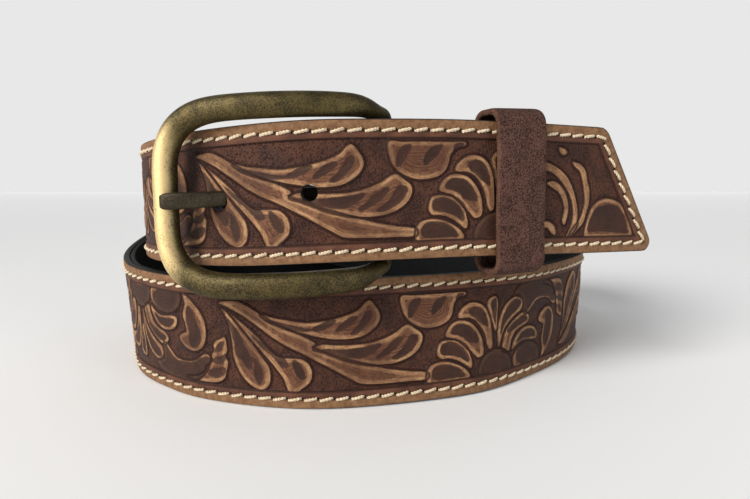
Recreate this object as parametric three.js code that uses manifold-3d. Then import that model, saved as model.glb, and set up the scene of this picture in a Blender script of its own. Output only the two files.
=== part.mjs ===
import * as THREE from 'three';
import Module from 'manifold-3d';

const wasm = await Module();
wasm.setup();
const { Manifold, CrossSection } = wasm;

// Sizes in millimetres, +Z up. The belt lies as two turns on the table and its buckle faces -Y.
const strapWidth = 38;
const leatherThickness = 2.2;
const liningThickness = 1.5;
const liningInset = 0.25;
const layerGap = 0.3;
const loopHalfWidth = 94;
const loopHalfDepth = 80;
const holeDiameter = 4.5;
const holeSpacing = 25.4;
const holeCount = 5;
const firstHoleFromTip = 112.1;
const tipSlant = 23;
const tipTopRadius = 5;
const tipBottomRadius = 3;
const foldBackLength = 25;
const frameLength = 66;
const frameHeight = 54.6;
const frameBarWidth = 7;
const frameBarDepth = 5;
const frameDome = 12;
const frameTilt = 2.2;
const lowerBarDrop = 1.025;
const lowerBarWidening = 1.07;
const heelBarDiameter = 3.8;
const heelClearance = 0.5;
const prongWidth = 4.3;
const prongThickness = 2.4;
const prongLength = 60.2;
const keeperWidth = 15.5;
const keeperThickness = 2;
const keeperHeight = 47.5;
const keeperSag = 0.65;
const keeperFromHeel = 27.1;
const stationsPerRow = 4;

// Fits: everything below follows from the sizes above.
const bondToFace = layerGap / 2 + leatherThickness;
const bondToBack = layerGap / 2 + liningThickness;
const strapThickness = bondToFace + bondToBack;
const liningWidth = strapWidth - 2 * liningInset;

// The strap's centre line: shares of the loop's half width (side) and half depth (back), of the strap's width
// (rise), and the lean of its upper edge outward in degrees. The first row is at the buckle, the last at the
// tip.
const pathRows = [
  ['side', 'back', 'rise', 'lean'],
  [0.081, -0.868, 1.668, 0],
  [0.309, -0.808, 1.674, 0],
  [0.527, -0.720, 1.668, 0],
  [0.707, -0.581, 1.653, 0],
  [0.867, -0.338, 1.632, 0],
  [0.963, -0.038, 1.613, 0],
  [0.989, 0.263, 1.579, 0],
  [0.947, 0.510, 1.470, 0],
  [0.819, 0.710, 1.335, 0],
  [0.628, 0.841, 1.180, 0],
  [0.372, 0.920, 1.035, 0],
  [0.085, 0.951, 0.915, 0],
  [-0.213, 0.941, 0.845, 0],
  [-0.489, 0.878, 0.825, 0],
  [-0.723, 0.741, 0.805, 0],
  [-0.894, 0.536, 0.755, 2],
  [-0.973, 0.288, 0.675, 4],
  [-0.983, -0.025, 0.552, 4.5],
  [-0.906, -0.297, 0.507, 4],
  [-0.796, -0.518, 0.5, 2.5],
  [-0.641, -0.686, 0.5, 2.5],
  [-0.481, -0.788, 0.5, 1],
  [-0.223, -0.854, 0.5, -2],
  [0.016, -0.824, 0.5, -6],
  [0.250, -0.746, 0.5, -8],
  [0.419, -0.665, 0.5, -5.5],
  [0.588, -0.529, 0.5, 0],
  [0.759, -0.328, 0.5, 0],
  [0.894, -0.088, 0.5, 2],
  [0.943, 0.144, 0.505, 2],
  [0.904, 0.358, 0.532, 1],
  [0.803, 0.531, 0.590, 0],
  [0.638, 0.668, 0.660, 0],
  [0.426, 0.767, 0.740, 0],
  [0.160, 0.830, 0.850, 0],
  [-0.128, 0.846, 1.030, 0],
  [-0.394, 0.799, 1.215, 0],
  [-0.606, 0.683, 1.350, 0],
  [-0.755, 0.500, 1.440, 0],
  [-0.835, 0.250, 1.510, 0],
  [-0.846, -0.050, 1.553, 0],
  [-0.814, -0.325, 1.558, 0],
  [-0.716, -0.566, 1.571, 0],
  [-0.553, -0.775, 1.597, 0],
  [-0.346, -0.913, 1.629, 0],
  [-0.138, -0.955, 1.661, 0],
  [0.080, -0.924, 1.676, 0],
  [0.309, -0.864, 1.682, 0],
  [0.543, -0.779, 1.674, 0],
  [0.766, -0.683, 1.663, 0],
  [1.000, -0.5765, 1.652, 0],
];

// One half of the strap's section: shares of the half width (up) and of the layer's thickness (out).
const edgeRows = [
  ['up', 'out'],
  [0.965, 0],
  [1, 0.28],
  [1, 0.7],
  [0.968, 1],
];

// Centre line of the frame's upper half, from the left bar to the heel bar. Shares of the frame's length
// (along), half height (high) and dome (forward), then of the bar's width and depth.
const frameRows = [
  ['along', 'high', 'forward', 'width', 'depth'],
  [0.053, 0, 0.51, 0.96, 1],
  [0.054, 0.28, 0.52, 0.96, 1],
  [0.068, 0.5, 0.55, 0.97, 1],
  [0.118, 0.7, 0.63, 1, 1],
  [0.215, 0.826, 0.78, 1, 1],
  [0.345, 0.862, 0.94, 0.98, 1],
  [0.5, 0.868, 1, 0.98, 1],
  [0.65, 0.866, 0.96, 0.96, 1],
  [0.79, 0.856, 0.83, 0.92, 0.96],
  [0.88, 0.837, 0.57, 0.8, 0.88],
  [0.94, 0.79, 0.27, 0.6, 0.8],
  [0.9712, 0.735, 0.03, 0.5429, 0.76],
  [0.9712, 0.5, 0, 0.5429, 0.76],
  [0.9712, 0.25, 0, 0.5429, 0.76],
  [0.9712, 0, 0, 0.5429, 0.76],
];

// Centre line of the prong from the heel bar to its end: shares of its length (along), then the distance
// out from the heel bar's centre in shares of the dome, and shares of its width and thickness.
const prongRows = [
  ['along', 'out', 'width', 'thick'],
  [0.03, 0.24, 1, 1],
  [0.2, 0.235, 1, 1],
  [0.4, 0.24, 1, 1],
  [0.585, 0.27, 1, 1],
  [0.672, 0.37, 1, 1],
  [0.735, 0.55, 1, 1],
  [0.795, 0.735, 1, 1],
  [0.856, 0.86, 1.03, 1],
  [0.925, 0.935, 1.06, 1],
  [1, 0.965, 1.06, 0.9],
];

function readTable(rows) {
  const names = rows[0];
  return rows.slice(1).map((row) => Object.fromEntries(row.map((value, i) => [names[i], value])));
}

// A smooth line through every row: a cubic B-spline whose control points are found by repeated correction.
function smoothThrough(rows, steps, closed) {
  const count = rows.length;
  const size = rows[0].length;
  let control = rows.map((row) => row.slice());
  const at = (list, i) => {
    if (closed) return list[(i + count) % count];
    if (i < 0) return list[0].map((v, k) => 2 * v - list[1][k]);
    if (i >= count) return list[count - 1].map((v, k) => 2 * v - list[count - 2][k]);
    return list[i];
  };
  for (let turn = 0; turn < 40; turn += 1) {
    control = control.map((row, i) => row.map((v, k) => (
      v + rows[i][k] - (at(control, i - 1)[k] + 4 * v + at(control, i + 1)[k]) / 6
    )));
  }
  const line = [];
  const spans = closed ? count : count - 1;
  for (let i = 0; i < spans; i += 1) {
    for (let step = 0; step < steps; step += 1) {
      const t = step / steps;
      const weights = [
        (1 - t) ** 3 / 6,
        (3 * t ** 3 - 6 * t ** 2 + 4) / 6,
        (-3 * t ** 3 + 3 * t ** 2 + 3 * t + 1) / 6,
        t ** 3 / 6,
      ];
      const point = new Array(size).fill(0);
      for (let j = 0; j < 4; j += 1) {
        at(control, i + j - 1).forEach((v, k) => {
          point[k] += weights[j] * v;
        });
      }
      line.push(point);
    }
  }
  if (!closed) line.push(rows[count - 1].slice());
  return line;
}

// Joins rings of points into one closed body. Rings run round a section and follow each other along a path.
function skin(rings, closed) {
  const size = rings[0].length;
  const positions = rings.flat().flatMap((p) => [p.x, p.y, p.z]);
  const triangles = [];
  const last = closed ? rings.length : rings.length - 1;
  for (let i = 0; i < last; i += 1) {
    const next = (i + 1) % rings.length;
    for (let j = 0; j < size; j += 1) {
      const k = (j + 1) % size;
      const a = i * size + j;
      const b = i * size + k;
      const c = next * size + k;
      const d = next * size + j;
      triangles.push(a, b, c, a, c, d);
    }
  }
  if (!closed) {
    for (const [start, flip] of [[0, true], [(rings.length - 1) * size, false]]) {
      const flat = THREE.ShapeUtils.triangulateShape(capOutline(rings[start / size]), []);
      for (const [a, b, c] of flat) {
        if (flip) triangles.push(start + a, start + c, start + b);
        else triangles.push(start + a, start + b, start + c);
      }
    }
  }
  return outward(positions, triangles);
}

// The ring laid flat in its own plane, for filling its ends.
function capOutline(ring) {
  const centre = new THREE.Vector3();
  ring.forEach((p) => centre.add(p));
  centre.divideScalar(ring.length);
  const normal = new THREE.Vector3();
  ring.forEach((p, i) => {
    const q = ring[(i + 1) % ring.length];
    normal.add(new THREE.Vector3().crossVectors(p.clone().sub(centre), q.clone().sub(centre)));
  });
  normal.normalize();
  const across = ring[0].clone().sub(centre).normalize();
  const upward = new THREE.Vector3().crossVectors(normal, across);
  return ring.map((p) => {
    const d = p.clone().sub(centre);
    return new THREE.Vector2(d.dot(across), d.dot(upward));
  });
}

function outward(positions, triangles) {
  let volume = 0;
  const point = (i) => new THREE.Vector3(positions[3 * i], positions[3 * i + 1], positions[3 * i + 2]);
  for (let i = 0; i < triangles.length; i += 3) {
    const a = point(triangles[i]);
    const b = point(triangles[i + 1]);
    const c = point(triangles[i + 2]);
    volume += a.dot(b.cross(c)) / 6;
  }
  if (volume < 0) {
    for (let i = 0; i < triangles.length; i += 3) {
      [triangles[i + 1], triangles[i + 2]] = [triangles[i + 2], triangles[i + 1]];
    }
  }
  const mesh = new wasm.Mesh({
    numProp: 3,
    vertProperties: new Float32Array(positions),
    triVerts: new Uint32Array(triangles),
  });
  return Manifold.ofMesh(mesh);
}

// Height of the centre line, so that a leaning strap still rests on the lower corner of its edge.
function seatHeight(rise, lean) {
  const angle = THREE.MathUtils.degToRad(Math.abs(lean));
  const side = lean > 0 ? layerGap / 2 + 0.7 * leatherThickness : layerGap / 2 + 0.7 * liningThickness;
  return (rise - 0.5 + 0.5 * Math.cos(angle)) * strapWidth + side * Math.sin(angle);
}

// The strap's centre line as stations, each with its place, direction, up and out (the leather's side).
const pathTable = readTable(pathRows);
const pathPoints = smoothThrough(
  pathTable.map((row) => [
    row.side * loopHalfWidth,
    row.back * loopHalfDepth,
    seatHeight(row.rise, row.lean),
    row.lean,
  ]),
  stationsPerRow,
  false,
);

function toStations(points) {
  const places = points.map((p) => new THREE.Vector3(p[0], p[1], p[2]));
  let run = 0;
  return places.map((place, i) => {
    const before = places[Math.max(i - 1, 0)];
    const after = places[Math.min(i + 1, places.length - 1)];
    const along = after.clone().sub(before).normalize();
    if (i > 0) run += place.distanceTo(places[i - 1]);
    const level = new THREE.Vector3(along.y, -along.x, 0).normalize();
    const lean = THREE.MathUtils.degToRad(points[i][3]);
    const up = new THREE.Vector3(0, 0, Math.cos(lean)).addScaledVector(level, Math.sin(lean));
    up.addScaledVector(along, -up.dot(along)).normalize();
    const out = new THREE.Vector3().crossVectors(along, up);
    return { place, along, up, out, run };
  });
}

const stations = toStations(pathPoints);
const pathLength = stations[stations.length - 1].run;

function stationAt(run) {
  let i = 1;
  while (i < stations.length - 1 && stations[i].run < run) i += 1;
  const a = stations[i - 1];
  const b = stations[i];
  const t = (run - a.run) / (b.run - a.run);
  return {
    place: a.place.clone().lerp(b.place, t),
    along: a.along.clone().lerp(b.along, t).normalize(),
    up: a.up.clone().lerp(b.up, t).normalize(),
    out: a.out.clone().lerp(b.out, t).normalize(),
  };
}

// Behind the first station the strap turns round the heel bar and runs back along its own lining.
const start = stations[0];
const heelRadius = heelBarDiameter / 2;
const foldRadius = heelRadius + heelClearance + bondToBack;
const heelCentre = start.place.clone().addScaledVector(start.out, -foldRadius);
const flapOffset = 2 * bondToBack + layerGap + 0.1;
const foldSteps = 10;
const flapSteps = 8;

function foldStations() {
  const list = [];
  const pinch = 9;
  for (let i = flapSteps; i >= 1; i -= 1) {
    const run = (foldBackLength * i) / flapSteps;
    const at = stationAt(run);
    const ease = THREE.MathUtils.clamp((run - heelRadius) / pinch, 0, 1);
    const blend = ease * ease * (3 - 2 * ease);
    const offset = 2 * foldRadius + (flapOffset - 2 * foldRadius) * blend;
    list.push({ place: at.place.clone().addScaledVector(at.out, -offset), up: at.up });
  }
  for (let i = 0; i < foldSteps; i += 1) {
    const angle = Math.PI * (1 - i / foldSteps);
    const place = heelCentre.clone()
      .addScaledVector(start.out, foldRadius * Math.cos(angle))
      .addScaledVector(start.along, -foldRadius * Math.sin(angle));
    list.push({ place, up: start.up });
  }
  return list.map((item, i) => {
    const before = list[Math.max(i - 1, 0)].place;
    const after = i + 1 < list.length ? list[i + 1].place : start.place;
    const along = after.clone().sub(before).normalize();
    return { place: item.place, up: item.up, out: new THREE.Vector3().crossVectors(along, item.up) };
  });
}

const wholePath = [...foldStations(), ...stations];

// One layer of the strap between two distances out from the centre line.
function strapLayer(near, far, width) {
  const edge = readTable(edgeRows);
  const half = edge.map((row) => [row.up, near + (far - near) * row.out]);
  const section = [...half, ...half.slice().reverse().map(([up, out]) => [-up, out])];
  const rings = wholePath.map((at) => section.map(([up, out]) => (
    at.place.clone().addScaledVector(at.up, up * width / 2).addScaledVector(at.out, out)
  )));
  return skin(rings, false);
}

function placed(solid, at, x, y, z) {
  return solid.transform([
    x.x, x.y, x.z, 0,
    y.x, y.y, y.z, 0,
    z.x, z.y, z.z, 0,
    at.x, at.y, at.z, 1,
  ]);
}

// The tip's outline in the strap's face: along the strap from its end, and up from its centre line.
function tipCutter() {
  const end = stations[stations.length - 1];
  const half = strapWidth / 2;
  const corner = (x, y, radius, from, to) => {
    const points = [];
    for (let i = 0; i <= 5; i += 1) {
      const angle = THREE.MathUtils.degToRad(from + ((to - from) * i) / 5);
      points.push([x + radius * Math.cos(angle), y + radius * Math.sin(angle)]);
    }
    return points;
  };
  const slantAngle = Math.atan2(tipSlant, strapWidth);
  const degrees = THREE.MathUtils.radToDeg(slantAngle);
  const top = corner(
    -tipSlant - tipTopRadius * Math.tan((Math.PI / 2 - slantAngle) / 2),
    half - tipTopRadius,
    tipTopRadius,
    90,
    degrees,
  );
  const bottom = corner(
    -tipBottomRadius / Math.tan((Math.PI / 2 - slantAngle) / 2),
    -half + tipBottomRadius,
    tipBottomRadius,
    degrees,
    -90,
  );
  const outline = [[-40, half], ...top, ...bottom, [-40, -half], [-40, -half - 9], [12, -half - 9],
    [12, half + 9], [-40, half + 9]];
  const flat = new CrossSection([outline]);
  const solid = flat.extrude(strapThickness * 4, 0, 0, [1, 1], true);
  return placed(solid, end.place, end.along, end.up, end.out.clone());
}

// Holes run through both layers; the prong sits in the second one, which is opened to the prong's own slant.
function holeCutters() {
  const list = [];
  for (let i = 0; i < holeCount; i += 1) {
    if (i === 1) continue;
    const at = stationAt(pathLength - firstHoleFromTip - i * holeSpacing);
    const cylinder = Manifold.cylinder(strapThickness * 3, holeDiameter / 2, holeDiameter / 2, 20, true);
    list.push(placed(cylinder, at.place, at.along, at.up, at.out));
  }
  return list;
}

// A bar of rounded section along a line. Each station gives place, side and front directions and half sizes.
function bar(line, corners, closed) {
  const rings = line.map((at) => {
    const ring = [];
    for (let j = 0; j < corners; j += 1) {
      const angle = (2 * Math.PI * j) / corners;
      const c = Math.cos(angle);
      const s = Math.sin(angle);
      const x = Math.sign(c) * Math.abs(c) ** at.squareness * at.half;
      const rise = s < 0 ? at.back : at.front;
      const y = Math.sign(s) * Math.abs(s) ** at.squareness * rise;
      ring.push(at.place.clone().addScaledVector(at.side, x).addScaledVector(at.outward, y));
    }
    return ring;
  });
  return skin(rings, closed);
}

const frameLeft = heelCentre.x + heelRadius - frameLength;
const frameFront = new THREE.Vector3(0, -1, 0);
const frameSlope = Math.tan(THREE.MathUtils.degToRad(frameTilt));

function buckleFrame() {
  const upper = readTable(frameRows);
  const lower = upper.slice(1, -1).reverse().map((row) => ({
    ...row,
    high: -row.high * lowerBarDrop,
    width: row.high > 0.6 ? row.width * lowerBarWidening : row.width,
  }));
  const rows = [...upper, ...lower].map((row) => [
    frameLeft + row.along * frameLength,
    heelCentre.y - row.forward * frameDome,
    heelCentre.z + row.high * frameHeight / 2 + (row.along - 0.9712) * frameLength * frameSlope,
    row.width * frameBarWidth,
    row.depth * frameBarDepth,
  ]);
  const line = smoothThrough(rows, 3, true);
  const places = line.map((p) => new THREE.Vector3(p[0], p[1], p[2]));
  const list = places.map((place, i) => {
    const next = places[(i + 1) % places.length];
    const along = next.clone().sub(places[(i - 1 + places.length) % places.length]);
    along.normalize();
    const side = new THREE.Vector3().crossVectors(frameFront, along).normalize();
    const outwardDirection = new THREE.Vector3().crossVectors(along, side);
    const depth = line[i][4];
    const round = THREE.MathUtils.clamp((depth / frameBarDepth - 0.76) / 0.24, 0, 1);
    return {
      place,
      side,
      outward: outwardDirection,
      half: line[i][3] / 2,
      front: depth * (0.5 + 0.12 * round),
      back: depth * (0.5 - 0.12 * round),
      squareness: 1 - 0.12 * round,
    };
  });
  return bar(list, 10, true);
}

const prongFloor = heelCentre.clone();

function prongLine(extra) {
  const rows = readTable(prongRows).map((row) => [
    prongFloor.x - row.along * prongLength,
    prongFloor.y - row.out * frameDome,
    prongFloor.z - row.along * prongLength * frameSlope * 1.15,
    row.width * prongWidth,
    row.thick * prongThickness,
  ]);
  const line = smoothThrough(rows, 2, false);
  const places = line.map((p) => new THREE.Vector3(p[0], p[1], p[2]));
  return places.map((place, i) => {
    const next = places[Math.min(i + 1, places.length - 1)];
    const along = next.clone().sub(places[Math.max(i - 1, 0)]).normalize();
    const side = new THREE.Vector3(0, 0, 1);
    return {
      place,
      side,
      outward: new THREE.Vector3().crossVectors(side, along).normalize(),
      half: line[i][3] / 2 + extra,
      front: line[i][4] / 2 + extra,
      back: line[i][4] / 2 + extra,
      squareness: 0.45,
    };
  });
}

// The prong: a flat bar joined to a ring that turns on the heel bar.
function buckleProng() {
  const ringInner = heelRadius + heelClearance;
  const ringOuter = ringInner + 1.7;
  const ring = Manifold.cylinder(prongWidth, ringOuter, ringOuter, 20, true);
  const bore = Manifold.cylinder(prongWidth * 2, ringInner, ringInner, 20, true);
  const blade = bar(prongLine(0), 12, false);
  return blade.add(ring.translate(prongFloor.toArray())).subtract(bore.translate(prongFloor.toArray()));
}

function prongSlot() {
  const height = prongWidth + 1.6;
  const reach = foldRadius + bondToFace;
  const box = Manifold.cube([2 * reach + 3, 2 * reach + 4, height]);
  return box.translate([heelCentre.x - reach - 2.7, heelCentre.y - reach - 0.2, heelCentre.z - height / 2]);
}

// The keeper: a band round both thicknesses of strap, a little slack above and below.
function keeperLoop() {
  const at = stationAt(keeperFromHeel + keeperWidth / 2);
  const overlap = 0.55;
  const innerDepth = 2 * strapThickness + overlap + 1.7;
  const outerDepth = innerDepth + 2 * keeperThickness;
  const rounded = (width, height, radius) => (
    CrossSection.square([width - 2 * radius, height - 2 * radius], true).offset(radius, 'Round', 2, 24)
  );
  const flat = rounded(outerDepth, keeperHeight, 5.2)
    .subtract(rounded(innerDepth, keeperHeight - 2 * keeperThickness, 3.2));
  const solid = flat.extrude(keeperWidth, 4, 0, [1, 1], true);
  const level = new THREE.Vector3(at.along.x, at.along.y, 0).normalize();
  const lean = THREE.MathUtils.degToRad(1.5);
  const up = new THREE.Vector3(0, 0, Math.cos(lean)).addScaledVector(level, -Math.sin(lean));
  const axis = new THREE.Vector3(0, 0, Math.sin(lean)).addScaledVector(level, Math.cos(lean));
  const out = new THREE.Vector3().crossVectors(axis, up);
  const stackMiddle = bondToFace - strapThickness + (2 * strapThickness + overlap) / 2;
  const middle = at.place.clone().addScaledVector(at.out, stackMiddle).addScaledVector(up, -keeperSag);
  return placed(solid, middle, out, up, axis.negate());
}

const looks = {
  strap_leather: { color: 0x5a372a, roughness: 0.62, metalness: 0 },
  strap_lining: { color: 0x2b3133, roughness: 0.75, metalness: 0 },
  buckle_frame: { color: 0x8a7440, roughness: 0.38, metalness: 1 },
  buckle_prong: { color: 0x3a3222, roughness: 0.45, metalness: 1 },
  keeper: { color: 0x54372f, roughness: 0.7, metalness: 0 },
};

const tip = tipCutter();
const prongHole = bar(prongLine(0.32).slice(6, 16), 12, false);
const cutters = [tip, prongHole, prongSlot(), ...holeCutters()];
const cut = (layer) => cutters.reduce((solid, cutter) => solid.subtract(cutter), layer);
const solids = {
  strap_leather: cut(strapLayer(layerGap / 2, bondToFace, strapWidth)),
  strap_lining: cut(strapLayer(-layerGap / 2, -bondToBack, liningWidth)),
  buckle_frame: buckleFrame(),
  buckle_prong: buckleProng(),
  keeper: keeperLoop(),
};

// The origin is at the middle of the whole belt's box, on the table.
const low = [Infinity, Infinity, Infinity];
const high = [-Infinity, -Infinity, -Infinity];
for (const solid of Object.values(solids)) {
  const box = solid.boundingBox();
  for (let k = 0; k < 3; k += 1) {
    low[k] = Math.min(low[k], box.min[k]);
    high[k] = Math.max(high[k], box.max[k]);
  }
}
const shift = [-(low[0] + high[0]) / 2, -(low[1] + high[1]) / 2, -low[2]];

const group = new THREE.Group();
group.name = 'western_leather_belt';
for (const [name, solid] of Object.entries(solids)) {
  const data = solid.translate(shift).getMesh();
  const geometry = new THREE.BufferGeometry();
  const positions = new Float32Array(data.numVert * 3);
  for (let i = 0; i < data.numVert; i += 1) {
    for (let k = 0; k < 3; k += 1) positions[3 * i + k] = data.vertProperties[i * data.numProp + k];
  }
  geometry.setAttribute('position', new THREE.BufferAttribute(positions, 3));
  geometry.setIndex(new THREE.BufferAttribute(new Uint32Array(data.triVerts), 1));
  const mesh = new THREE.Mesh(geometry, new THREE.MeshStandardMaterial(looks[name]));
  mesh.name = name;
  group.add(mesh);
}

export default group;
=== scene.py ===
import math

import bpy
import numpy as np
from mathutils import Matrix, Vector


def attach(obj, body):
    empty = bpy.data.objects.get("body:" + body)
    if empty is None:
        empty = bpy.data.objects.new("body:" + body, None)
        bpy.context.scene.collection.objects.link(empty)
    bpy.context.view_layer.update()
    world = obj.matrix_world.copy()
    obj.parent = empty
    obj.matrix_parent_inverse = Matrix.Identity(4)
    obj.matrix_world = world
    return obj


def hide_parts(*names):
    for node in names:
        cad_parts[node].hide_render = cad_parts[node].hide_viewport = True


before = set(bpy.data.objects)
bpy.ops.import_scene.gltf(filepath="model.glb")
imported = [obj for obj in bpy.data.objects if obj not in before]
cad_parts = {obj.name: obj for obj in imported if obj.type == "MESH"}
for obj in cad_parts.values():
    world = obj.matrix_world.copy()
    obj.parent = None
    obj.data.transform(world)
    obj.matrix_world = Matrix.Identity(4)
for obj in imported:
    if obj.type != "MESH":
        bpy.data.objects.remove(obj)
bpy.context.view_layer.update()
rng = np.random.default_rng(7)

MM = 0.001

# Named sizes in millimetres, the same as the solids'.
STRAP_WIDTH = 38.0
LEATHER = 2.2
LINING = 1.5
LAYER_GAP = 0.3
LINING_WIDTH = 37.5
LOOP_HALF_WIDTH = 94.0
LOOP_HALF_DEPTH = 80.0
HOLE_RADIUS = 2.25
HOLE_SPACING = 25.4
FIRST_HOLE_FROM_TIP = 112.1
TIP_SLANT = 23.0
TIP_TOP_RADIUS = 5.0
TIP_BOTTOM_RADIUS = 3.0
FOLD_BACK = 25.0
FRAME_LENGTH = 66.0
FRAME_HEIGHT = 54.6
FRAME_BAR_WIDTH = 7.0
FRAME_BAR_DEPTH = 5.0
FRAME_DOME = 12.0
FRAME_TILT = 2.2
LOWER_BAR_DROP = 1.025
LOWER_BAR_WIDENING = 1.07
HEEL_BAR = 3.8
HEEL_CLEARANCE = 0.5
PRONG_WIDTH = 4.3
PRONG_THICKNESS = 2.4
PRONG_LENGTH = 60.2
KEEPER_WIDTH = 15.5
KEEPER_THICKNESS = 2.0
KEEPER_HEIGHT = 47.5
KEEPER_SAG = 0.65
KEEPER_FROM_HEEL = 27.1
KEEPER_RADIUS = 4.2
KEEPER_SLACK = 1.7
KEEPER_LEAN = 1.5
STRAP_OVERLAP = 0.55

# From the strap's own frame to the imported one, whose origin is under the middle of the belt's box.
SHIFT = np.array([0.7335, 0.9448, 0.0163])

# Sewing: distance of the seam from the edge, step from stitch to stitch, and the thread's size.
SEAM_INSET = 3.0
STITCH_STEP = 4.4
STITCH_LENGTH = 3.7
PLY_RADIUS = 0.33
GROOVE_INSET = 5.1
STITCH_SLANT = 11.0
STITCH_RISE = 0.42
STITCH_SINK = 0.22
PLY_TURNS = 2.1
PLY_RINGS = 12
PLY_SIDES = 5

# Depths of the tooling below the face, in millimetres.
GROUND_DEPTH = 0.42
CUT_DEPTH = 0.22
MARK_DEPTH = 0.2
GROOVE_DEPTH = 0.22
SEAM_DEPTH = 0.1
EDGE_DROP = 0.35
PIT_DEPTH = 0.45
HOLE_SINK = 0.3

# The camera found from the photo: its frame and focal length in pixels, its row of the horizon.
FRAME_WIDE = 750.0
MIDDLE_ROW = 249.5
FOCAL_PIXELS = 541.0
HORIZON_ROW = 180.0
SENSOR = 36.0
CAMERA_PLACE = np.array([4.0, -222.0, 66.5])

TO_FACE = LAYER_GAP / 2 + LEATHER
TO_BACK = LAYER_GAP / 2 + LINING

# The strap's centre line: shares of the loop's half width and half depth, of the strap's width (rise),
# and the outward lean of its upper edge in degrees. The first row is at the buckle, the last at the tip.
PATH_ROWS = [
    (0.081, -0.868, 1.668, 0),
    (0.309, -0.808, 1.674, 0),
    (0.527, -0.720, 1.668, 0),
    (0.707, -0.581, 1.653, 0),
    (0.867, -0.338, 1.632, 0),
    (0.963, -0.038, 1.613, 0),
    (0.989, 0.263, 1.579, 0),
    (0.947, 0.510, 1.470, 0),
    (0.819, 0.710, 1.335, 0),
    (0.628, 0.841, 1.180, 0),
    (0.372, 0.920, 1.035, 0),
    (0.085, 0.951, 0.915, 0),
    (-0.213, 0.941, 0.845, 0),
    (-0.489, 0.878, 0.825, 0),
    (-0.723, 0.741, 0.805, 0),
    (-0.894, 0.536, 0.755, 2),
    (-0.973, 0.288, 0.675, 4),
    (-0.983, -0.025, 0.552, 4.5),
    (-0.906, -0.297, 0.507, 4),
    (-0.796, -0.518, 0.5, 2.5),
    (-0.641, -0.686, 0.5, 2.5),
    (-0.481, -0.788, 0.5, 1),
    (-0.223, -0.854, 0.5, -2),
    (0.016, -0.824, 0.5, -6),
    (0.250, -0.746, 0.5, -8),
    (0.419, -0.665, 0.5, -5.5),
    (0.588, -0.529, 0.5, 0),
    (0.759, -0.328, 0.5, 0),
    (0.894, -0.088, 0.5, 2),
    (0.943, 0.144, 0.505, 2),
    (0.904, 0.358, 0.532, 1),
    (0.803, 0.531, 0.590, 0),
    (0.638, 0.668, 0.660, 0),
    (0.426, 0.767, 0.740, 0),
    (0.160, 0.830, 0.850, 0),
    (-0.128, 0.846, 1.030, 0),
    (-0.394, 0.799, 1.215, 0),
    (-0.606, 0.683, 1.350, 0),
    (-0.755, 0.500, 1.440, 0),
    (-0.835, 0.250, 1.510, 0),
    (-0.846, -0.050, 1.553, 0),
    (-0.814, -0.325, 1.558, 0),
    (-0.716, -0.566, 1.571, 0),
    (-0.553, -0.775, 1.597, 0),
    (-0.346, -0.913, 1.629, 0),
    (-0.138, -0.955, 1.661, 0),
    (0.080, -0.924, 1.676, 0),
    (0.309, -0.864, 1.682, 0),
    (0.543, -0.779, 1.674, 0),
    (0.766, -0.683, 1.663, 0),
    (1.000, -0.5765, 1.652, 0),
]

# Centre line of the frame's upper half: shares of its length, half height and dome, then of its bar's
# width and depth.
FRAME_ROWS = [
    (0.053, 0, 0.51, 0.96, 1),
    (0.054, 0.28, 0.52, 0.96, 1),
    (0.068, 0.5, 0.55, 0.97, 1),
    (0.118, 0.7, 0.63, 1, 1),
    (0.215, 0.826, 0.78, 1, 1),
    (0.345, 0.862, 0.94, 0.98, 1),
    (0.5, 0.868, 1, 0.98, 1),
    (0.65, 0.866, 0.96, 0.96, 1),
    (0.79, 0.856, 0.83, 0.92, 0.96),
    (0.88, 0.837, 0.57, 0.8, 0.88),
    (0.94, 0.79, 0.27, 0.6, 0.8),
    (0.9712, 0.735, 0.03, 0.5429, 0.76),
    (0.9712, 0.5, 0, 0.5429, 0.76),
    (0.9712, 0.25, 0, 0.5429, 0.76),
    (0.9712, 0, 0, 0.5429, 0.76),
]

# Centre line of the prong: share of its length, distance out in shares of the dome, width and thickness.
PRONG_ROWS = [
    (0.03, 0.24, 1, 1),
    (0.2, 0.235, 1, 1),
    (0.4, 0.24, 1, 1),
    (0.585, 0.27, 1, 1),
    (0.672, 0.37, 1, 1),
    (0.735, 0.55, 1, 1),
    (0.795, 0.735, 1, 1),
    (0.856, 0.86, 1.03, 1),
    (0.925, 0.935, 1.06, 1),
    (1, 0.965, 1.06, 0.9),
]

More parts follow.
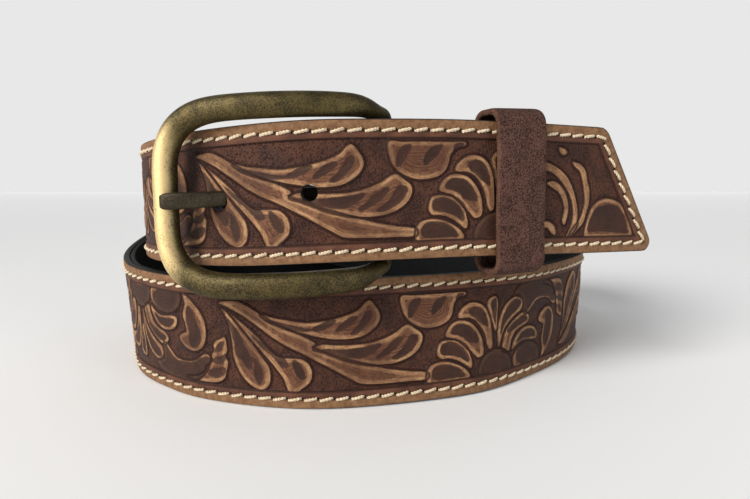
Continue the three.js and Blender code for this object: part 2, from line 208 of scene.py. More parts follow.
# Tooled motifs, charted in millimetres: name, layer, the raised outline, then any pressed marks.
# Each point is a distance along the strap from the unit's origin and a height above its middle.
FLORAL_UNIT = [
    ("stem", 0, [
        (3.8, 11.8), (6.8, 12.4), (9.9, 12.4), (13.1, 11.1), (16.8, 8.9), (19.9, 6.8), (24.3, 4.6),
        (28.7, 2.8), (32.4, 0.5), (31.2, -0.6), (34.3, -2), (38.7, -3.9), (44.3, -5.8), (49.3, -7.2),
        (54.3, -8.4), (59.9, -9.6), (65, -10.4), (64.9, -12.5), (59.3, -12.6), (51.8, -12.6),
        (45.7, -12.2), (42.4, -10.6), (37.4, -7.5), (33, -4.9), (28.7, -2.5), (24.3, -0.3), (20.6, 1.9),
        (16.2, 5.1), (11.2, 8.4), (6.8, 10.6),
    ]),
    ("leaf_one", 1, [
        (16.9, 9), (20.6, 8), (24.9, 7.3), (29.3, 6.6), (33.7, 6.8), (38, 7.5), (41.8, 8.5), (44.9, 9.9),
        (46.8, 11.8), (48.3, 12.4), (49.9, 10.6), (51, 8.8), (51.2, 6.6), (49.6, 4.2), (46.5, 2.2),
        (43, 1.4), (38.7, 1.4), (34.3, 2.1), (29.9, 3.2), (25.6, 4.5), (21.8, 5.9), (18.7, 7.4),
    ], [
        (18.2, 7.5), (21.8, 6.9), (25.6, 5.9), (29.3, 5), (31.8, 4.6), (29.3, 4), (25.6, 4.6), (21.8, 5.9),
        (19.3, 6.6),
    ], [
        (31.7, 5), (33.7, 6.1), (36.2, 7.1), (38.3, 7.1), (37.4, 5.9), (34.9, 4.6), (32.4, 4.1),
    ], [
        (38, 4), (39.6, 5.9), (41.8, 7.4), (43.9, 8), (44.3, 7.1), (42.4, 5.5), (40.2, 4.1), (38.7, 3.6),
    ], [
        (42.2, 2.9), (44.3, 5), (45.8, 7.2), (46.8, 8.9), (48.3, 9.4), (48.8, 8), (47.7, 5.9), (45.5, 3.8),
        (43.7, 2.5),
    ]),
    ("leaf_two", 1, [
        (31.9, -0.9), (34.3, 0.1), (38, -0.2), (42.4, -0.4), (47.4, -0.2), (51.8, 0.8), (55.5, 2.2),
        (58.3, 4), (60, 4.4), (62.2, 2.9), (64, 1.5), (64.3, -0.5), (63, -3.1), (60.3, -5.2), (56.2, -6.6),
        (51.2, -6.9), (46.2, -6.2), (41.2, -4.8), (36.8, -2.9), (33.7, -1.6),
    ], [
        (34.3, -1.2), (38.7, -1.6), (43, -1.5), (48, -1), (51.2, -0.4), (50.5, -1.9), (48, -3.6),
        (45.5, -4.5), (41.8, -4.1), (37.4, -2.8),
    ], [
        (49.5, -4.5), (51.8, -2.9), (54, -0.8), (56.2, 0.5), (57.8, 0.9), (57.4, -0.6), (55.3, -2.6),
        (52.8, -4.2), (50.5, -5.1),
    ], [
        (54.3, -5.1), (57.2, -3.2), (59, -1), (60.3, 1.2), (62.2, 1.2), (62.8, -0.1), (61.5, -2.5),
        (58.7, -4.5), (55.8, -5.6),
    ]),
    ("teardrop_one", 2, [
        (4.2, 10.6), (5.8, 8.4), (7.2, 4.4), (7.9, 0), (8.3, -4.4), (9.7, -8.1), (11.8, -11.1),
        (14.3, -13), (16.8, -13.8), (18.8, -12.4), (19.6, -10), (19.3, -6.9), (17.6, -4.4), (15.2, -1.2),
        (12.6, 2.1), (9.8, 5.5), (6.8, 8.8),
    ], [
        (6.3, 7.8), (8.7, 5.2), (10.6, 2.5), (11.8, -0.6), (13.1, -2.5), (14.1, -5), (13.8, -7.5),
        (12.3, -7.2), (10.8, -4.8), (9.3, -3.8), (8.7, -0.6), (7.8, 3.1),
    ], [
        (14.3, -3.8), (16.2, -5.6), (17.3, -8.1), (17.2, -10.6), (16.2, -12.1), (15.1, -10.6),
        (14.7, -8.1), (14.7, -5.6),
    ]),
    ("teardrop_two", 3, [
        (7.1, 9.2), (10.6, 6.6), (14.3, 3.6), (17.4, 0.6), (19.9, -2), (22.1, -3.5), (24.9, -3.8),
        (28.7, -4.1), (30.9, -6.2), (31.4, -8.8), (30.6, -11.2), (28.3, -13.1), (26.6, -14.5),
        (24.9, -14.2), (24.2, -12.5), (23.4, -10.2), (21.3, -7.2), (19.1, -4.5), (16.2, -1.2), (13.1, 2.1),
        (9.9, 5.9),
    ], [
        (13.1, 3.6), (16.2, 1.2), (19.3, -0.8), (22.4, -2), (24.1, -4.4), (24.9, -6.2), (23.1, -6.5),
        (21.6, -5), (19.9, -3.1), (16.8, -0.6),
    ], [
        (26.1, -4.2), (27.9, -5.2), (29.1, -7.5), (29.7, -9.6), (28.7, -10.1), (27.2, -8.8), (26.3, -6.5),
    ]),
    ("drop_leaf", 2, [
        (-8.4, 13.5), (-5.7, 12), (-2.9, 9), (-1.2, 5.9), (-0.7, 2.5), (-1.2, -0.6), (-2.8, -3),
        (-5.3, -4), (-8.2, -3.4), (-10.4, -1.6), (-10.9, 0), (-9.4, 1.2), (-7.9, 1.9), (-8.2, 4.4),
        (-8.9, 6.6), (-8.4, 9), (-7.8, 10.6),
    ], [
        (-6.6, 10), (-4.7, 8.1), (-3.7, 5), (-2.7, 2.5), (-2.6, -0.6), (-4.1, -2.6), (-5.8, -2.9),
        (-6.9, -1.2), (-6.6, 1.2), (-7.3, 3.8), (-7.6, 6.9),
    ]),
    ("curled_leaf", 3, [
        (5.6, 1.5), (4.3, 0.9), (2.6, 0.1), (1.7, -1.2), (1.9, -2.9), (0.9, -4.5), (1.3, -6.1),
        (-0.1, -7.5), (-1.1, -8.2), (-1.6, -9.6), (-4.3, -11.4), (-8.8, -12.5), (-5.1, -13.1),
        (-0.1, -13.1), (3.3, -12.5), (5.2, -11), (5.8, -8.8), (6.4, -6.2), (5.6, -4.5), (6.2, -2.2),
    ], [
        (5.2, 0.2), (3.7, -0.4), (2.6, -1.8), (2.2, -3.4), (3.8, -2.9), (5.1, -1.5),
    ], [
        (5.7, -3.6), (4.1, -4.5), (2.2, -5), (1.3, -6.5), (3.6, -6.8), (5.4, -5.9),
    ], [
        (5.4, -7.9), (3.1, -8.1), (0.6, -9.1), (-0.6, -10.4), (1.2, -11.2), (3.7, -10.9), (5.3, -9.6),
    ]),
    ("half_leaf", 0, [
        (57.8, 13), (62, 13), (68.2, 13), (74.5, 13), (78.9, 13), (79.5, 12.1), (77, 11.2), (75.2, 9.6),
        (74.6, 7.2), (73.6, 5.1), (71.4, 3.6), (68.2, 2.9), (64.8, 3), (61.5, 4.4), (59.2, 6.5), (58.1, 9),
    ], [
        (59.9, 6.6), (60.1, 9.4), (61.5, 11.6), (64, 12.1), (63.9, 10.9), (62.4, 8.5), (61, 6.6),
    ], [
        (67.4, 7.1), (68, 9.5), (69.9, 11.5), (72.6, 12.2), (72.2, 10.9), (70.4, 8.5), (68.5, 6.9),
    ], [
        (75.8, 11.2), (76.5, 12.4), (78.9, 12.5), (77.6, 11.2), (76.2, 10.1),
    ]),
    ("petal_one", 1, [
        (65.5, -14.2), (65.2, -11.2), (66.3, -8.9), (69, -7.9), (72.4, -8.1), (75.9, -9.5), (78.3, -11.2),
        (79.5, -13.4), (77.4, -14.5), (71.8, -14.5), (68, -14.8),
    ], [
        (67, -12.5), (66.9, -10.4), (68.4, -8.9), (71.8, -8.8), (75.3, -10), (77.2, -11.9), (77.3, -13),
        (73, -13), (69.3, -13.2),
    ]),
    ("petal_two", 2, [
        (68.7, -5), (69.7, -2), (72.4, -1.4), (75.5, -2), (78, -3.6), (79.7, -6.2), (80.5, -9.4),
        (79.9, -11), (78.2, -9.8), (75.5, -8), (72.4, -7), (69.9, -6.9),
    ], [
        (69.8, -4.6), (70.5, -2.6), (73, -2), (75.5, -2.8), (77.8, -4.6), (79.3, -7.5), (79, -8.9),
        (76.8, -7.4), (73.7, -6.2), (70.8, -5.8),
    ]),
    ("petal_three", 3, [
        (71.8, -0.1), (72.7, 2.2), (74.8, 3.9), (77.4, 4.2), (80.3, 3.4), (82.7, 1.1), (84.3, -1.9),
        (84.9, -5.6), (84.4, -7.5), (82.4, -8), (80.7, -6.2), (78.4, -3.8), (75.9, -1.6), (73.7, -0.9),
    ], [
        (73.7, 0.4), (74.2, 2.2), (76.5, 3.2), (79.7, 2.4), (82, 0.1), (83.4, -2.8), (82.3, -3.2),
        (79.5, -2.6), (77.4, -0.8), (75.5, -0.1),
    ]),
    ("petal_four", 1, [
        (76.4, 5), (77, 7.1), (79.3, 8.9), (82, 9.5), (84.9, 8.5), (86.9, 6.2), (87.9, 3.1), (88.3, -0.6),
        (88.4, -5), (87.4, -6.2), (86.2, -4.4), (85.5, -1.2), (84.3, 1.2), (82.4, 3.6), (79.9, 4.8),
    ], [
        (80.7, 5.6), (80.2, 7.1), (82, 8.1), (84.5, 7.5), (86.2, 5), (86.9, 1.2), (86.2, 1.5), (84.3, 2.5),
        (82.4, 4.2),
    ]),
    ("petal_five", 2, [
        (86.9, 8.6), (87.8, 10.1), (89, 10.6), (90.5, 10.6), (91.2, 8.8), (90.8, 5), (90.5, 1.2),
        (90, -0.6), (89.2, 0.5), (88.3, 3.8), (87.3, 6.6),
    ], [
        (88.3, 8.1), (89, 9.6), (90.4, 9.8), (90.5, 7.5), (90.2, 3.8), (89.7, 1.2), (89, 4.4),
    ]),
    ("petal_six", 3, [
        (90.9, -6), (90.5, -2.5), (91, 1.2), (92.2, 4.4), (94, 7.2), (96.8, 9.2), (99.5, 9.8),
        (101.8, 8.5), (102, 6.6), (101.2, 5), (98.4, 3.6), (95.5, 1.6), (93.4, -0.6), (92, -3.8),
    ], [
        (92, -1.9), (92.2, 1.5), (93.2, 4.2), (95.3, 7.1), (98, 8.8), (100.8, 8.5), (101, 6.8), (98.5, 5),
        (95.5, 3), (93.2, 0.5),
    ]),
    ("petal_seven", 1, [
        (92.5, -6.6), (93.7, -1.9), (96.2, 0.9), (99.3, 2.9), (102.2, 4.1), (104.9, 3.1), (105.7, 1.5),
        (104.3, 0.1), (101.8, -0.6), (98.7, -1.9), (96.8, -4.4), (95.9, -7.5), (94.5, -8),
    ], [
        (94.7, -1.1), (96.8, 0.8), (99.7, 2.2), (102.3, 3.2), (104.3, 2.2), (104.3, 1.1), (101.2, 0.2),
        (98, -1), (95.8, -1.8),
    ]),
    ("petal_eight", 2, [
        (96.8, -7.9), (98, -4.8), (100.5, -2.2), (103.7, -1), (107.4, -1.4), (109.9, -2.9), (110.7, -5.2),
        (109.5, -6.2), (106.2, -5.8), (102.4, -5.5), (99.3, -6.5),
    ], [
        (99, -5.8), (101.2, -3.2), (104.3, -2), (107.4, -2.4), (109.2, -4.1), (108.8, -5.2), (104.9, -4.9),
        (101.8, -4.8),
    ]),
    ("petal_nine", 3, [
        (97.5, -11.2), (98.8, -8.9), (101.8, -7), (105.5, -6.5), (109.3, -7.5), (111.8, -9.8),
        (112.5, -12.5), (111.5, -14.5), (107.4, -14.5), (101.8, -14.5), (98.5, -14),
    ], [
        (98.9, -10.8), (100.4, -8), (104.9, -6.2), (109.3, -7), (112.2, -9.6), (112.9, -12.9),
        (111.6, -14), (107.4, -14), (102.4, -13.8),
    ]),
    ("heart", 0, [
        (83, -15), (82.4, -12.5), (83.7, -9.4), (86.2, -7.2), (89.5, -6.2), (92.8, -7), (95.5, -9.1),
        (96.8, -11.9), (96.4, -14.8), (91.8, -15.1), (86.8, -15.1),
    ], [
        (82.6, -14.2), (82, -12), (83.3, -9), (86, -6.7), (89.5, -5.7), (93, -6.5), (96, -8.9),
        (97.2, -12), (96.6, -14.2), (91.5, -13.4), (87, -13.4),
    ]),
    ("plain_leaf", 0, [
        (98.5, 10.6), (100.5, 13), (104.3, 14), (109.3, 14.4), (114.3, 14), (118.7, 12), (121.5, 8.8),
        (122.4, 5), (120.5, 4.4), (117.4, 6.6), (113.7, 7.5), (109.3, 7.2), (106.8, 5.3), (104.3, 3.6),
        (102.5, 4.4), (102.4, 7.8), (100.5, 9.7),
    ], [
        (98.8, 10.4), (100.7, 13), (104.6, 14.2), (109.3, 14.5), (114.3, 14.2), (118.9, 12.3),
        (121.8, 8.8), (122.2, 5.4), (119.6, 5.6), (116.9, 7.3), (113.2, 8), (109, 7.8), (106.3, 5.9),
        (104.2, 4.2), (102.6, 5), (102.6, 8.1), (100.9, 9.8),
    ]),
]

TIP_MOTIFS = [
    ("arc_one", 1, [
        (104.5, 8), (107.6, 7.2), (111.4, 5), (114, 1.9), (116.1, -2.5), (117.1, -6.9), (116.8, -10.6),
        (115, -13.1), (113.2, -14.1), (113.9, -12.4), (115.1, -9.4), (115.2, -6.2), (114.2, -2.5),
        (112.3, 0.5), (109.8, 3.2), (107, 5.1), (104.5, 5.9),
    ]),
    ("arc_two", 2, [
        (113.9, 8.4), (117, 7.8), (119.2, 5.8), (120, 3.1), (121, 0), (121.1, -3.8), (120.2, -6.9),
        (119.5, -9.4), (117.5, -11.6), (115.2, -13.8), (114.2, -13.8), (115.8, -11.2), (117.6, -9.2),
        (118.9, -5.6), (119.2, -2.5), (118.6, 0.6), (117.8, 3.2), (116.8, 5.6), (114.9, 7),
    ]),
    ("arc_three", 3, [
        (105.2, 2.1), (108.2, 2.6), (111.2, 0.6), (113, -2.5), (113.6, -6.2), (112.6, -10.1),
        (111.4, -8.9), (112, -5.6), (111, -2.5), (109.4, -0.4), (106.9, 0.9),
    ]),
    ("arc_four", 0, [
        (104.5, -9.2), (107, -9.2), (109, -10.6), (109.6, -13.1), (108.2, -12.8), (106.4, -11.1),
        (104.5, -10.9),
    ]),
    ("small_patch", 0, [
        (109, 12.4), (111.2, 12), (112.1, 10.9), (110.8, 10.2), (109.4, 10.9),
    ]),
    ("tip_leaf", 1, [
        (119.9, -12.5), (120.9, -8.1), (122.6, -4.5), (125.8, -2.5), (129.5, -2.4), (133.4, -3.8),
        (136.1, -6.8), (138, -10.6), (138.8, -14.1), (132.6, -14.5), (125.8, -14.4), (120.9, -14.5),
    ], [
        (120.9, -11.6), (122.2, -7.5), (123.9, -5.2), (126.4, -4.5), (129.5, -4.1), (132.6, -5.1),
        (135.1, -7.9), (136.6, -11.2), (137, -13), (131.4, -12.6), (125.8, -12.2), (122.6, -12.4),
    ]),
]


def smooth_through(rows, steps, closed=False):
    """A smooth line through every row: a cubic B-spline whose control points are found by correction."""
    rows = np.array(rows, float)
    count = len(rows)

    def with_ends(points):
        if closed:
            return np.vstack([points[-1:], points, points[:2]])
        return np.vstack([2 * points[:1] - points[1:2], points, 2 * points[-1:] - points[-2:-1]])

    control = rows.copy()
    for _ in range(40):
        ends = with_ends(control)
        control = control + rows - (ends[:count] + 4 * control + ends[2:count + 2]) / 6
    ends = with_ends(control)
    t = np.arange(steps) / steps
    weights = np.stack([
        (1 - t) ** 3 / 6,
        (3 * t ** 3 - 6 * t ** 2 + 4) / 6,
        (-3 * t ** 3 + 3 * t ** 2 + 3 * t + 1) / 6,
        t ** 3 / 6,
    ], 1)
    spans = count if closed else count - 1
    line = [weights @ ends[i:i + 4] for i in range(spans)]
    if not closed:
        line.append(rows[-1:])
    return np.vstack(line)


def unit(v):
    return v / np.linalg.norm(v, axis=-1, keepdims=True)


def run_lengths(points):
    """How far each point is along its line, from the first."""
    return np.concatenate([[0], np.cumsum(np.linalg.norm(np.diff(points, axis=0), axis=1))])


def points_at(run, lengths, line):
    return np.stack([np.interp(run, lengths, column) for column in line.T], -1)


def in_frame(points):
    """From millimetres in the strap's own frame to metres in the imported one."""
    return (points + SHIFT) * MM


def seat_height(rise, lean):
    angle = math.radians(abs(lean))
    side = LAYER_GAP / 2 + 0.7 * (LEATHER if lean > 0 else LINING)
    return (rise - 0.5 + 0.5 * math.cos(angle)) * STRAP_WIDTH + side * math.sin(angle)


PATH_STEPS = 24
path_points = smooth_through([
    (side * LOOP_HALF_WIDTH, back * LOOP_HALF_DEPTH, seat_height(rise, lean), lean)
    for side, back, rise, lean in PATH_ROWS
], PATH_STEPS)
path_place = path_points[:, :3]
path_along = unit(np.gradient(path_place, axis=0))
path_level = unit(np.stack([path_along[:, 1], -path_along[:, 0], 0 * path_along[:, 0]], 1))
path_lean = np.radians(path_points[:, 3:4])
path_up = np.array([[0, 0, 1.0]]) * np.cos(path_lean) + path_level * np.sin(path_lean)
path_up = unit(path_up - np.sum(path_up * path_along, 1, keepdims=True) * path_along)
path_run = run_lengths(path_place)
PATH_END = path_run[-1]

heel_radius = HEEL_BAR / 2
fold_radius = heel_radius + HEEL_CLEARANCE + TO_BACK
first_out = np.cross(path_along[0], path_up[0])
heel_centre = path_place[0] - first_out * fold_radius


def fold_places():
    """The strap's end from its cut edge behind the base strap to the front of the heel bar."""
    flap_offset = 2 * TO_BACK + LAYER_GAP + 0.1
    places = []
    ups = []
    for run in np.linspace(FOLD_BACK, 1.0, 28):
        i = int(np.searchsorted(path_run, run))
        ease = min(max((run - heel_radius) / 9, 0), 1)
        blend = ease * ease * (3 - 2 * ease)
        offset = 2 * fold_radius + (flap_offset - 2 * fold_radius) * blend
        places.append(path_place[i] - np.cross(path_along[i], path_up[i]) * offset)
        ups.append(path_up[i])
    for angle in np.linspace(math.pi, 0, 19)[:-1]:
        places.append(heel_centre + first_out * fold_radius * math.cos(angle)
                      - path_along[0] * fold_radius * math.sin(angle))
        ups.append(path_up[0])
    return np.array(places), np.array(ups)


flap_place, flap_up = fold_places()
line_place = np.vstack([flap_place, path_place])
line_up = np.vstack([flap_up, path_up])
line_along = unit(np.gradient(line_place, axis=0))
line_out = unit(np.cross(line_along, line_up))
line_run = run_lengths(line_place)
line_run -= line_run[len(flap_place)]
LINE_START = line_run[0]


def on_strap(run, height, depth):
    """Points in metres, from millimetres along the strap, up from its middle and out from its bond line."""
    run = np.asarray(run, float)
    place = points_at(run, line_run, line_place)
    up = unit(points_at(run, line_run, line_up))
    out = unit(points_at(run, line_run, line_out))
    return in_frame(place + up * np.asarray(height)[..., None] + out * np.asarray(depth)[..., None])


# Outline of the tip in the strap's own face.
HALF = STRAP_WIDTH / 2
slant = math.atan2(TIP_SLANT, STRAP_WIDTH)
half_corner = (math.pi / 2 - slant) / 2
tip_top = (PATH_END - TIP_SLANT - TIP_TOP_RADIUS * math.tan(half_corner), HALF - TIP_TOP_RADIUS)
tip_bottom = (PATH_END - TIP_BOTTOM_RADIUS / math.tan(half_corner), -HALF + TIP_BOTTOM_RADIUS)
TIP_START = PATH_END - 40


def tip_outline(inset):
    points = []
    for centre, radius, start, end in ((tip_bottom, TIP_BOTTOM_RADIUS - inset, -math.pi / 2, slant),
                                       (tip_top, TIP_TOP_RADIUS - inset, slant, math.pi / 2)):
        radius = max(radius, 0.05)
        for angle in np.linspace(start, end, 9):
            points.append((centre[0] + radius * math.cos(angle), centre[1] + radius * math.sin(angle)))
    return np.array(points)


def strap_end(height):
    """How far the strap reaches at a height, in millimetres along it."""
    height = np.clip(np.asarray(height, float), -HALF, HALF)
    straight = PATH_END - (height + HALF) * math.tan(slant)
    reach = straight
    for centre, radius, upper in ((tip_top, TIP_TOP_RADIUS, True), (tip_bottom, TIP_BOTTOM_RADIUS, False)):
        rise = height - centre[1]
        inside = (rise > radius * math.sin(slant)) if upper else (rise < radius * math.sin(slant))
        curve = centre[0] + np.sqrt(np.maximum(radius ** 2 - rise ** 2, 0))
        reach = np.where(inside, curve, reach)
    return reach


def squeeze_to_tip(run, height):
    share = (run - TIP_START) / (PATH_END - TIP_START)
    return np.where(run > TIP_START, TIP_START + share * (strap_end(height) - TIP_START), run)


def distance_to_line(px, py, line):
    best = np.full(px.shape, 1e9)
    for (ax, ay), (bx, by) in zip(line[:-1], line[1:]):
        dx = bx - ax
        dy = by - ay
        t = np.clip(((px - ax) * dx + (py - ay) * dy) / (dx * dx + dy * dy + 1e-12), 0, 1)
        best = np.minimum(best, np.hypot(px - ax - t * dx, py - ay - t * dy))
    return best


def rim_distance(run, height):
    """Millimetres from the strap's edge."""
    rim = HALF - np.abs(height)
    near = run > TIP_START
    outline = tip_outline(0)
    line = np.vstack([[PATH_END - 60, -HALF], outline, [PATH_END - 60, HALF]])
    rim = np.array(rim, float)
    rim[near] = distance_to_line(run[near], height[near], line)
    return rim


def curve_round(points, per=5):
    """A closed smooth curve through the charted points."""
    p = np.array(points, float)
    count = len(p)
    out = []
    for i in range(count):
        a, b, c, d = p[i - 1], p[i], p[(i + 1) % count], p[(i + 2) % count]
        for k in range(per):
            t = k / per
            out.append(0.5 * (2 * b + (c - a) * t + (2 * a - 5 * b + 4 * c - d) * t * t
                              + (3 * b - a - 3 * c + d) * t ** 3))
    return np.array(out)


def signed_distance(px, py, outline):
    """Negative inside the closed outline."""
    closed = np.vstack([outline, outline[:1]])
    distance = distance_to_line(px, py, closed)
    inside = np.zeros(px.shape, bool)
    for (ax, ay), (bx, by) in zip(closed[:-1], closed[1:]):
        crosses = (ay > py) != (by > py)
        at = ax + (py - ay) / (by - ay + 1e-12) * (bx - ax)
        inside ^= crosses & (px < at)
    return np.where(inside, -distance, distance)


ROW_RUN = path_run[::PATH_STEPS]
LOWER_ORIGIN = ROW_RUN[21] + 0.1
UPPER_ORIGIN = ROW_RUN[44] - 17.4
UNIT_PITCH = (UPPER_ORIGIN - LOWER_ORIGIN) / 4
FAR = 3.0

# The last unit stops under the keeper; these motifs give way to those of the tip.
UNDER_TIP = ("petal_seven", "petal_eight", "petal_nine", "plain_leaf")


def tooling(run, height):
    """Signed distances to the tooled motifs at each point of the strap's face: four layers and the marks."""
    lifts = [np.full(run.shape, FAR) for _ in range(4)]
    marks = np.full(run.shape, FAR)

    def press(target, outline):
        low = outline.min(0) - FAR
        high = outline.max(0) + FAR
        near = (run > low[0]) & (run < high[0]) & (height > low[1]) & (height < high[1])
        if not near.any():
            return
        d = signed_distance(run[near], height[near], outline)
        target[near] = np.minimum(target[near], d)

    def press_all(layer, shapes, origin, side):
        for number, points in enumerate(shapes):
            outline = curve_round(points)
            press(marks if number else lifts[layer],
                  np.stack([outline[:, 0] + origin, outline[:, 1] * side], 1))

    for k in range(-4, 5):
        origin = LOWER_ORIGIN + k * UNIT_PITCH
        side = 1 if k % 2 == 0 else -1
        for name, layer, *shapes in FLORAL_UNIT:
            if k == 4 and name in UNDER_TIP:
                continue
            press_all(layer, shapes, origin, side)
    for name, layer, *shapes in TIP_MOTIFS:
        press_all(layer, shapes, UPPER_ORIGIN, 1)
    return lifts, marks


def ease(value, low, high):
    t = np.clip((value - low) / (high - low), 0, 1)
    return t * t * (3 - 2 * t)


def seam_points():
    """Where the stitches lie: millimetres along the strap, up from its middle, and their direction."""
    line = np.vstack([[3.0, -HALF + SEAM_INSET], tip_outline(SEAM_INSET), [3.0, HALF - SEAM_INSET]])
    length = run_lengths(line)
    count = int(length[-1] // STITCH_STEP)
    middle = (np.arange(count) + 0.5) * length[-1] / count
    turn = points_at(middle + 1.2, length, line) - points_at(middle - 1.2, length, line)
    place = points_at(middle, length, line)
    pits = points_at(np.arange(count + 1) * length[-1] / count, length, line)
    return place, np.arctan2(turn[:, 1], turn[:, 0]), pits


stitch_place, stitch_angle, stitch_pits = seam_points()
hole_runs = [PATH_END - FIRST_HOLE_FROM_TIP - i * HOLE_SPACING for i in range(5)]
HOLES = [(run, 0.0, HOLE_RADIUS, HOLE_RADIUS) for run in hole_runs]
HOLES[1] = (hole_runs[1] - 0.6, -0.9, 3.1, 2.55)
SLOT_HALF = (PRONG_WIDTH + 1.6) / 2
FOLD_SLOT = (-math.pi * fold_radius / 2, 0.0, 9.0, SLOT_HALF)


def linear(code):
    """A colour written as sRGB hex, in the linear values that Blender uses."""
    values = [int(code[i:i + 2], 16) / 255 for i in (1, 3, 5)]
    return tuple(v / 12.92 if v <= 0.04045 else ((v + 0.055) / 1.055) ** 2.4 for v in values) + (1.0,)


def new_mesh(name, points, faces, materials):
    mesh = bpy.data.meshes.new(name)
    mesh.from_pydata([tuple(p) for p in points], [], faces)
    for material in materials:
        mesh.materials.append(material)
    mesh.update()
    mesh.polygons.foreach_set("use_smooth", [True] * len(mesh.polygons))
    obj = bpy.data.objects.new(name, mesh)
    bpy.context.scene.collection.objects.link(obj)
    return obj


def strap_sheet(name, start, end, step, rows, side, face_depth, width, materials, with_tooling):
    """One layer of the strap between two runs: face, edges and end, with the holes punched."""
    columns = np.linspace(start, end, int(round((end - start) / step)) + 1)
    scale = width / STRAP_WIDTH
    face = np.array(rows) * scale
    run = np.repeat(columns[:, None], len(face), 1)
    height = np.repeat(face[None, :], len(columns), 0)
    run = squeeze_to_tip(run, height)
    run = run.ravel()
    height = height.ravel()
    across = len(face)
    quads = []
    for i in range(len(columns) - 1):
        for j in range(across - 1):
            a = i * across + j
            quads.append((a, a + 1, a + across + 1, a + across))
    quads = np.array(quads)
    walls = []
    for hole_run, hole_height, radius_run, radius_height in HOLES + [FOLD_SLOT]:
        if not (start - 12 < hole_run < end + 12):
            continue
        q_run = run[quads].mean(1)
        q_height = height[quads].mean(1)
        power = 2 if radius_run < 5 else 6
        measure = (np.abs((q_run - hole_run) / radius_run) ** power
                   + np.abs((q_height - hole_height) / radius_height) ** power)
        gone = measure < 1
        if not gone.any():
            continue
        border = np.intersect1d(quads[gone].ravel(), quads[~gone].ravel())
        quads = quads[~gone]
        dx = (run[border] - hole_run) / radius_run
        dy = (height[border] - hole_height) / radius_height
        size = (np.abs(dx) ** power + np.abs(dy) ** power) ** (1 / power)
        run[border] = hole_run + dx / size * radius_run
        height[border] = hole_height + dy / size * radius_height
        walls.append(border[np.argsort(np.arctan2(dy, dx))])
    depth = np.full(run.shape, face_depth)
    attributes = {}
    if with_tooling:
        rim = rim_distance(run, height)
        lifts, marks = tooling(run, height)
        inside = np.minimum.reduce(lifts)
        nearest = np.minimum.reduce([np.abs(v) for v in lifts])
        field = ease(rim, GROOVE_INSET - 0.2, GROOVE_INSET + 0.5)
        ground = ease(inside, 0.0, 0.9) * field
        depth = depth - GROUND_DEPTH * ground
        depth = depth - CUT_DEPTH * (1 - ease(nearest, 0.15, 0.55)) * field
        depth = depth - MARK_DEPTH * (1 - ease(marks, -0.5, 0.3)) * field * (1 - ground)
        depth = depth - GROOVE_DEPTH * (1 - ease(np.abs(rim - GROOVE_INSET), 0.2, 0.7))
        depth = depth - SEAM_DEPTH * (1 - ease(np.abs(rim - SEAM_INSET), 0.3, 1.0))
        depth = depth - EDGE_DROP * (1 - ease(rim, 0.0, 1.1)) ** 2
        pit = np.full(run.shape, FAR)
        for pit_run, pit_height in stitch_pits:
            close = np.abs(run - pit_run) < 2
            pit[close] = np.minimum(pit[close], np.hypot(run[close] - pit_run, height[close] - pit_height))
        depth = depth - PIT_DEPTH * (1 - ease(pit, 0.3, 0.8))
        for hole_run, hole_height, radius_run, radius_height in HOLES:
            away = np.hypot((run - hole_run) / radius_run, (height - hole_height) / radius_height) - 1
            depth = depth - HOLE_SINK * (1 - ease(away * radius_height, 0.0, 0.9))
        attributes = {"lift_0": lifts[0], "lift_1": lifts[1], "lift_2": lifts[2], "lift_3": lifts[3],
                      "mark": marks, "rim": rim, "pit": pit}
    points = [on_strap(run, height, depth)]
    count = len(run)
    faces = [tuple(q) if side > 0 else tuple(q[::-1]) for q in quads]
    material_index = [0] * len(faces)
    extra = {key: [] for key in attributes}

    def add_row(run_values, height_values, depth_values):
        nonlocal count
        points.append(on_strap(run_values, height_values, depth_values))
        for key in attributes:
            extra[key].append(np.full(len(run_values), FAR if key != "rim" else 0.0))
        first = count
        count += len(run_values)
        return list(range(first, count))

    def strip(first, second, closed, material, flip):
        size = len(first)
        for k in range(size if closed else size - 1):
            n = (k + 1) % size
            quad = (first[k], first[n], second[n], second[k])
            faces.append(quad[::-1] if flip else quad)
            material_index.append(material)

    bond = side * LAYER_GAP / 2
    half = width / 2
    thick = abs(face_depth - bond)
    for sign in (1, -1):
        edge = [i * across + (across - 1 if sign > 0 else 0) for i in range(len(columns))]
        for out_share, up_share in ((0.86, 0.988), (0.6, 1.0), (0.2, 1.0), (0.0, 0.985)):
            level = np.full(len(columns), sign * half * up_share)
            here = squeeze_to_tip(columns, level)
            row = add_row(here, level, np.full(len(columns), bond + side * thick * out_share))
            strip(edge, row, False, 1, (sign > 0) != (side > 0))
            edge = row
    for border in walls:
        row = list(border)
        for share in (0.75, 0.0):
            nxt = add_row(run[border], height[border], np.full(len(border), bond + side * thick * share))
            strip(row, nxt, True, 1, side > 0)
            row = nxt
    for at_end, column in ((True, len(columns) - 1), (False, 0)):
        if at_end and abs(end - PATH_END) > 0.01:
            continue
        if not at_end and abs(start - LINE_START) > 0.01:
            continue
        row = [column * across + j for j in range(across)]
        for share in (0.8, 0.0):
            level = np.clip(face, -half, half)
            here = squeeze_to_tip(np.full(across, columns[column]), level)
            nxt = add_row(here, level, np.full(across, bond + side * thick * share))
            strip(row, nxt, False, 1, at_end != (side > 0))
            row = nxt
    obj = new_mesh(name, np.vstack(points), faces, materials)
    obj.data.polygons.foreach_set("material_index", material_index)
    for key, values in attributes.items():
        layer = obj.data.attributes.new(key, "FLOAT", "POINT")
        layer.data.foreach_set("value", np.concatenate([values] + extra[key]).astype(np.float32))
    return obj


